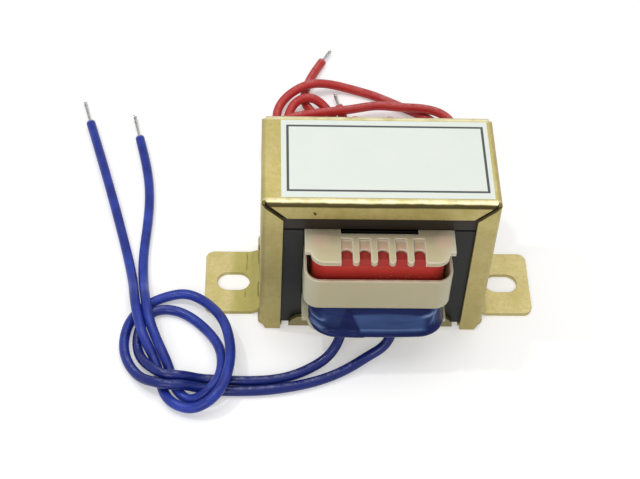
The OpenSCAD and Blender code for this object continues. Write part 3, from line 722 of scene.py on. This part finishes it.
def nylon():
    """Natural nylon: off-white and a little see-through. It takes a pink cast from the red
    tape where it is thin: in the comb's pockets and in two shallow dishes on the top flange.
    Its upper edges are pink with a painted highlight. The top flange has painted shade
    towards the core and is paler at its ends."""
    made, tree, shader = finish("nylon", Roughness=0.4, Subsurface_Weight=0.45)
    shader.inputs["Subsurface Radius"].default_value = (0.003, 0.0022, 0.0016)
    shader.inputs["Subsurface Scale"].default_value = 0.8
    dark, light = (0.49, 0.43, 0.26, 1), (0.56, 0.495, 0.31, 1)
    core_side_shade, pale = (0.33, 0.28, 0.19, 1), (0.66, 0.68, 0.54, 1)
    pocket_pink, dish_pink = (0.62, 0.3, 0.23, 1), (0.72, 0.48, 0.38, 1)
    edge_pink_highlight = (1.0, 0.79, 0.69, 1)
    shade = blend_colours(tree, noise(tree, 9 * MM), dark, light)
    face, top = (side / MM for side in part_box("primary_bobbin")[1][1:])
    pockets = within(
        tree, place(tree), (-9.6, -face + 1, top - 0.75), (10.6, -face + 6, top - 0.45), 0.1
    )
    shade = blend_colours(tree, times(tree, pockets, 0.45), shade, pocket_pink)
    across, out, up = axes_of(tree, place(tree))
    # Painted shade on the top flange towards the core.
    inner = between(tree, math_node(tree, "ABSOLUTE", out), 16.4 * MM, 13.6 * MM)
    inner = times(tree, inner, between(tree, up, 28 * MM, 29 * MM), 0.7)
    shade = blend_colours(tree, inner, shade, core_side_shade)
    ends = between(tree, math_node(tree, "ABSOLUTE", across), 12.4 * MM, 15 * MM)
    shade = blend_colours(tree, times(tree, ends, 0.45), shade, pale)
    for x in (-12.8, 13.6):
        dish = times(tree, disc(tree, (x, -15.2, top), 1.4, 2.9), 0.45)
        shade = blend_colours(tree, dish, shade, dish_pink)
    # Painted highlight: the upper edges are drawn pale pink.
    lit_thin_edge, rounded = edges(tree, 0.45 * MM, 0.008, 0.1)
    upper = within(tree, place(tree), (None, None, 26.5), (None, None, None), 0.6)
    shade = blend_colours(tree, times(tree, lit_thin_edge, upper), shade, edge_pink_highlight)
    feed(tree, shader, "Base Color", shade)
    bump(tree, shader, noise(tree, 0.35 * MM, 3), 0.01 * MM, 0.5, rounded)
    return made


def red_film():
    """Red polyester film: half gloss, with fine wrinkles, a darker lap along the top of its
    front, painted shade on its upward faces, and painted glints on a few creases low on the
    right."""
    made, tree, shader = finish("red_tape", Roughness=0.4, Specular_IOR_Level=0.2)
    dark, light = (0.5, 0.038, 0.03, 1), (0.62, 0.048, 0.036, 1)
    lapped, lip_shade, highlight = (0.36, 0.024, 0.022, 1), (0.14, 0.012, 0.01, 1), (0.9, 0.5, 0.42, 1)
    shade = blend_colours(tree, noise(tree, 4 * MM, 3, (0.5, 0.5, 1.6)), dark, light)
    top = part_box("primary_tape")[1][2] / MM
    lap = within(tree, unsteady(tree, 3 * MM, 0.4 * MM), (-9.3, None, top - 2.2), (None,) * 3, 0.15)
    shade = blend_colours(tree, times(tree, lap, 0.45), shade, lapped)
    # Painted shade on the faces that look up, the lip under the comb.
    top_shade = times(tree, between(tree, upward(tree), 0.5, 0.9), 0.6)
    shade = blend_colours(tree, top_shade, shade, lip_shade)
    # Painted glints on a few creases low on the right.
    low_right = within(tree, place(tree), (-2, None, None), (13, -17, top - 5.4), 0.9)
    glinting_creases = blotches(tree, 0.35 * MM, 0.66, 0.72, 2, (0.6, 1, 1.4))
    shade = blend_colours(tree, times(tree, glinting_creases, low_right, 0.8), shade, highlight)
    feed(tree, shader, "Base Color", shade)
    bump(tree, shader, noise(tree, 1.2 * MM, 2, (0.25, 0.25, 1)), 0.1 * MM, 0.5)
    return made


def blue_film():
    """Dark blue polyester film: gloss, with painted reflections, glints and shade from the
    numbers that its mesh carries.
    """
    made, tree, shader = finish("blue_tape", Roughness=0.16, Specular_IOR_Level=0.12)
    # Painted reflection: paler slate where the mesh's numbers are high, near white-blue for glints.
    pale = carried(tree, "painted_sheen")
    streaks = blotches(tree, 3 * MM, 0.3, 0.7, 3, (0.4, 1, 1.8))
    plain_film = blend_colours(tree, streaks, (0.004, 0.009, 0.065, 1), (0.008, 0.017, 0.11, 1))
    slack_and_sheen = blend_colours(tree, streaks, (0.034, 0.066, 0.185, 1), (0.06, 0.112, 0.29, 1))
    shade = blend_colours(tree, between(tree, pale, 0, 0.5), plain_film, slack_and_sheen)
    shade = blend_colours(tree, between(tree, pale, 0.5, 1), shade, (0.2, 0.28, 0.48, 1))
    feed(tree, shader, "Base Color", shade)
    bump(tree, shader, noise(tree, 1.5 * MM, 3, (0.5, 1, 1)), 0.05 * MM, 0.5)
    return made


def vinyl(name, colours, dipped, deepen):
    """Soft extruded vinyl, faintly rippled. Its first length, dipped mm from the body, took
    up varnish: its colour goes towards dark times deepen, and it is glossier, with painted
    glints broken along its top. Its cut end is pale."""
    made, tree, shader = finish(name, Roughness=0.25, Specular_IOR_Level=0.25)
    light, dark = colours
    varnish = between(tree, carried(tree, "run"), dipped + 8, dipped - 8)
    shade = blend_colours(tree, blotches(tree, 5 * MM, 0.3, 0.7, 3), dark, light)
    shade = blend_colours(tree, times(tree, varnish, 0.75), shade, scaled(dark, deepen))
    # Painted glints broken along the top of the varnished length.
    ragged = times(tree, noise(tree, 0.4 * MM), 0.1)
    top_glint_line = between(tree, math_node(tree, "ADD", upward(tree), ragged), 1.0, 1.06)
    bead_glints = times(tree, top_glint_line, blotches(tree, 1.6 * MM, 0.35, 0.65, 3), varnish, 0.45)
    shade = blend_colours(tree, bead_glints, shade, scaled(light, 0.55, 0.38))
    cut = between(tree, carried(tree, "rest"), 0.5, 0.25)
    shade = blend_colours(tree, cut, shade, scaled(light, 0.6, 0.24))
    feed(tree, shader, "Base Color", shade)
    values = {"Value": varnish, "To Min": 0.28, "To Max": 0.13}
    feed(tree, shader, "Roughness", add(tree, "MapRange", values).outputs["Result"])
    ripple = times(tree, noise(tree, 0.45 * MM), varnish)
    ripple = math_node(tree, "ADD", ripple, times(tree, noise(tree, 1.1 * MM), 0.8))
    bump(tree, shader, ripple, 0.07 * MM, 0.8)
    return made


def tinned_copper():
    """Tinned strands, dull and uneven."""
    made, tree, shader = finish("tinned_copper", Metallic=1.0, Roughness=0.4)
    dark, light = (0.26, 0.25, 0.235, 1), (0.52, 0.51, 0.49, 1)
    feed(tree, shader, "Base Color", blend_colours(tree, noise(tree, 0.8 * MM), dark, light))
    return made


def enamelled_wire():
    """Turns of fine copper wire, as ribs a wire's width apart up the winding."""
    made, tree, shader = finish("enamelled_wire", Metallic=0.8, Roughness=0.35)
    shader.inputs["Base Color"].default_value = COPPER
    values = {"Vector": place(tree), "Scale": 330.0}
    turns = add(tree, "TexWave", values, bands_direction="Z").outputs["Fac"]
    bump(tree, shader, turns, 0.1 * MM)
    return made


def label_paper():
    """Coated paper with a ruled black frame, set in from the label's edges: inked where the
    greater of |x| - half and |y| - half, from the frame's middle, is nearly 0."""
    made, tree, shader = finish("label_paper", Roughness=0.5)
    dark, light = (0.76, 0.82, 0.75, 1), (0.81, 0.86, 0.79, 1)
    half = (20.9 * MM, 9.3 * MM)
    aside = 0.1 * MM
    middle = [(a + b) / 2 + aside for a, b in zip(*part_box("rating_label"))]
    out = []
    for axis in range(2):
        away = math_node(tree, "SUBTRACT", axes_of(tree, place(tree))[axis], middle[axis])
        out.append(math_node(tree, "SUBTRACT", math_node(tree, "ABSOLUTE", away), half[axis]))
    edge = math_node(tree, "ABSOLUTE", math_node(tree, "MAXIMUM", *out))
    ruled = between(tree, edge, 0.32 * MM, 0.22 * MM)
    paper = blend_colours(tree, noise(tree, 5 * MM, 3), dark, light)
    feed(tree, shader, "Base Color", blend_colours(tree, ruled, paper, INK))
    bump(tree, shader, noise(tree, 2.5 * MM, 3), 0.03 * MM, 0.4)
    return made


def coat(made, *pieces):
    """Gives a finish to every material slot of some pieces."""
    for p in pieces:
        p.data.materials.clear()
        p.data.materials.append(made)


coat(plated_steel("plated_cover", COVER_ZINC, cover_marks), nodes["cover"])
coat(plated_steel("plated_plate", PLATE_ZINC, plate_marks), nodes["mounting_plate"])
coat(varnished_core(), *(n for name, n in nodes.items() if "_sheet" in name))
coat(nylon(), nodes["primary_bobbin"], nodes["secondary_bobbin"])
coat(enamelled_wire(), nodes["primary_winding"], nodes["secondary_winding"])
coat(red_film(), nodes["primary_tape"])
coat(blue_film(), blue_wrap)
coat(label_paper(), nodes["rating_label"])

red_vinyl = vinyl("red_vinyl", RED_VINYL, RED_DIPPED, 1.1)
blue_vinyl = vinyl("blue_vinyl", BLUE_VINYL, BLUE_DIPPED, 0.6)
tin = tinned_copper()
for colour, made in (("red", red_vinyl), ("blue", blue_vinyl)):
    for sleeve, strands in leads[colour]:
        coat(made, sleeve)
        coat(tin, strands)


# ---- Floor and light ----

# How brightly the surroundings light the part, and the floor glows where it is looked at
FILL = 0.34
FLOOR_GLOW = 0.34
LAMPS_AIM = (0, 0, 0.02)


def shows_white(tree):
    """1 for what the camera sees straight, or in gloss or through glass, and 0 for light."""
    ray = add(tree, "LightPath").outputs
    seen = math_node(tree, "MAXIMUM", ray["Is Camera Ray"], ray["Is Glossy Ray"])
    return math_node(tree, "MAXIMUM", seen, ray["Is Transmission Ray"])


def floor(size=3.0):
    """A pale floor that reads as white where it is lit and keeps the shadows."""
    x = size / 2
    points = np.array([(-x, -x, 0), (x, -x, 0), (x, x, 0), (-x, x, 0)])
    mesh = bpy.data.meshes.new("floor")
    mesh.from_pydata(points, [], [(0, 1, 2, 3)])
    made = bpy.data.objects.new("floor", mesh)
    bpy.context.scene.collection.objects.link(made)
    paint, tree, shader = finish("floor", Base_Color=(0.82, 0.82, 0.82, 1), Roughness=0.9)
    shader.inputs["Specular IOR Level"].default_value = 0.0
    shader.inputs["Emission Color"].default_value = (1, 1, 1, 1)
    feed(tree, shader, "Emission Strength", times(tree, shows_white(tree), FLOOR_GLOW))
    mesh.materials.append(paint)


def lamp(name, where, aim, size, power):
    """A square soft lamp at a place, aimed at a point."""
    data = bpy.data.lights.new(name, "AREA")
    data.size = size
    data.energy = power
    made = bpy.data.objects.new(name, data)
    bpy.context.scene.collection.objects.link(made)
    back = np.array(where, float) - np.array(aim, float)
    back /= np.linalg.norm(back)
    side = np.cross((0, 1, 0) if abs(back[2]) > 0.9 else (0, 0, 1), back)
    side /= np.linalg.norm(side)
    axes = Matrix([side.tolist(), np.cross(back, side).tolist(), back.tolist()]).transposed()
    made.matrix_world = Matrix.Translation(where) @ axes.to_4x4()


def world(light, backdrop=1.0):
    """Even white light from all round, and a white backdrop where it is looked at."""
    made = bpy.data.worlds.new("world")
    made.use_nodes = True
    tree = made.node_tree
    values = {"Value": shows_white(tree), "To Min": light, "To Max": backdrop}
    background = tree.nodes["Background"]
    feed(tree, background, "Strength", add(tree, "MapRange", values).outputs["Result"])
    background.inputs["Color"].default_value = (1, 1, 1, 1)
    bpy.context.scene.world = made


floor()
world(light=FILL)
lamp("overhead", (0.03, 0.06, 0.5), LAMPS_AIM, 0.5, 1.2)
lamp("front_left", (-0.2, -0.5, 0.36), LAMPS_AIM, 0.3, 1.0)
lamp("key", (-0.22, 0.02, 0.42), LAMPS_AIM, 0.02, 0.3)

bpy.context.scene.view_settings.view_transform = "Standard"
